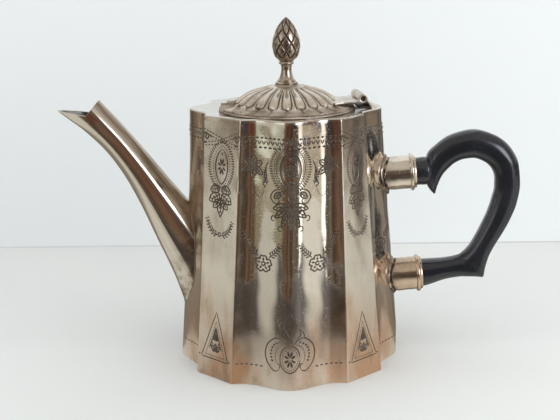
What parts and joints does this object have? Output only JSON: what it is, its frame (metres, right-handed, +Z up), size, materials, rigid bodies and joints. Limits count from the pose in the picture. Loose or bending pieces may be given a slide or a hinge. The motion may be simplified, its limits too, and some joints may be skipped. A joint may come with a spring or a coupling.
{
  "type": "teapot",
  "caption": "Silver-plated teapot with a bowed and panelled tapering body, an open-lipped spout, a black scroll handle and a hinged gadrooned lid with a pine-cone finial.",
  "frame": {"origin": "centre of the flat base, on the surface the pot stands on, on the body's vertical axis", "axes": "+X towards the handle, with the spout at -X; +Z up; +Y away from the side seen with the spout on the left"},
  "size_m": [0.2369, 0.113, 0.1774],
  "materials": {
    "silver_plate": "polished silver plate over brass, worn warm near the base",
    "tarnished_silver": "silver plate with brown tarnish in the hollows",
    "bare_brass": "plain turned brass",
    "black_handle": "gloss black"
  },
  "bodies": {
    "pot": {"body_shell": "silver_plate", "base_plate": "tarnished_silver", "top_plate": "silver_plate", "spout_near_half": "silver_plate", "spout_far_half": "silver_plate", "upper_socket": "silver_plate", "upper_socket_bead": "silver_plate", "lower_socket": "silver_plate", "lower_socket_bead": "silver_plate", "handle": "black_handle", "upper_handle_pin": "bare_brass", "lower_handle_pin": "bare_brass", "body_hinge_leaf": "silver_plate", "hinge_pin": "bare_brass"},
    "lid": {"lid_hinge_leaf": "silver_plate", "lid_dome": "tarnished_silver", "lid_bezel": "silver_plate", "finial_seat": "tarnished_silver", "finial_stem": "tarnished_silver", "finial_cone": "tarnished_silver", "finial_stud": "bare_brass", "finial_washer": "bare_brass", "finial_nut": "bare_brass"}
  },
  "joints": [
    {"name": "lid_hinge", "type": "hinge", "parent": "pot", "child": "lid", "pos_m": [0.0368, 0, 0.137], "axis": [-0.1478, 0.989, 0], "range_deg": [0, 105]}
  ]
}
